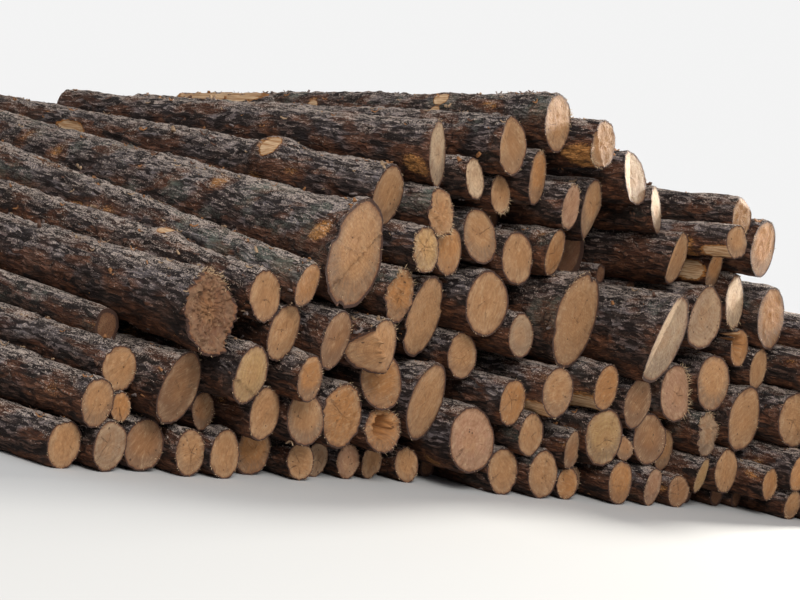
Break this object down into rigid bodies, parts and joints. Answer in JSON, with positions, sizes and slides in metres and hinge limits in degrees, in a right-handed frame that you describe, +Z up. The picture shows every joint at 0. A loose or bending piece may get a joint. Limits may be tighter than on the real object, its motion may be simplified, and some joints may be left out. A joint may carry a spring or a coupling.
{
  "type": "stack of logs",
  "caption": "Heap of short pine sawlogs with bark on, lying parallel on level ground, sawn ends staggered along one face, a few butts swollen or cut with a step.",
  "frame": {"origin": "on the ground, midway under the outer limits of the stack", "axes": "+Z up, Y along the logs with the sawn face toward -Y, X across the stack"},
  "size_m": [5.8452, 4.0634, 2.0323],
  "materials": {
    "ground_left": "rough bark with pale sawn ends",
    "ground_middle": "rough bark with pale sawn ends",
    "ground_right": "rough bark with pale sawn ends",
    "second_left": "rough bark with pale sawn ends",
    "second_middle": "rough bark with pale sawn ends",
    "second_right": "rough bark with pale sawn ends",
    "third_left": "rough bark with pale sawn ends",
    "third_middle": "rough bark with pale sawn ends",
    "third_right": "rough bark with pale sawn ends",
    "fourth_left": "rough bark with pale sawn ends",
    "fourth_middle": "rough bark with pale sawn ends",
    "fourth_right": "rough bark with pale sawn ends",
    "fifth_left": "rough bark with pale sawn ends",
    "fifth_middle": "rough bark with pale sawn ends",
    "fifth_right": "rough bark with pale sawn ends",
    "upper_left": "rough bark with pale sawn ends",
    "upper_right": "rough bark with pale sawn ends",
    "upper_far_right": "rough bark with pale sawn ends",
    "flank_long_log": "rough bark with pale sawn ends",
    "giant_butt_log": "rough bark with pale sawn ends",
    "torn_butt_log": "rough bark with pale sawn ends",
    "top_log": "rough bark with pale sawn ends",
    "step_cut_log": "rough bark with pale sawn ends",
    "lobed_butt_log": "rough bark with pale sawn ends",
    "large_middle_log": "rough bark with pale sawn ends",
    "large_right_log": "rough bark with pale sawn ends",
    "hollow_log": "rough bark with pale sawn ends",
    "broken_hollow_log": "rough bark with pale sawn ends",
    "thin_log": "rough bark with pale sawn ends"
  },
  "bodies": {
    "root": {"ground_left": "ground_left", "ground_middle": "ground_middle", "ground_right": "ground_right", "second_left": "second_left", "second_middle": "second_middle", "second_right": "second_right", "third_left": "third_left", "third_middle": "third_middle", "third_right": "third_right", "fourth_left": "fourth_left", "fourth_middle": "fourth_middle", "fourth_right": "fourth_right", "fifth_left": "fifth_left", "fifth_middle": "fifth_middle", "fifth_right": "fifth_right", "upper_left": "upper_left", "upper_right": "upper_right", "upper_far_right": "upper_far_right", "flank_long_log": "flank_long_log", "giant_butt_log": "giant_butt_log", "torn_butt_log": "torn_butt_log", "top_log": "top_log", "step_cut_log": "step_cut_log", "lobed_butt_log": "lobed_butt_log", "large_middle_log": "large_middle_log", "large_right_log": "large_right_log", "hollow_log": "hollow_log", "broken_hollow_log": "broken_hollow_log", "thin_log": "thin_log"}
  },
  "joints": []
}
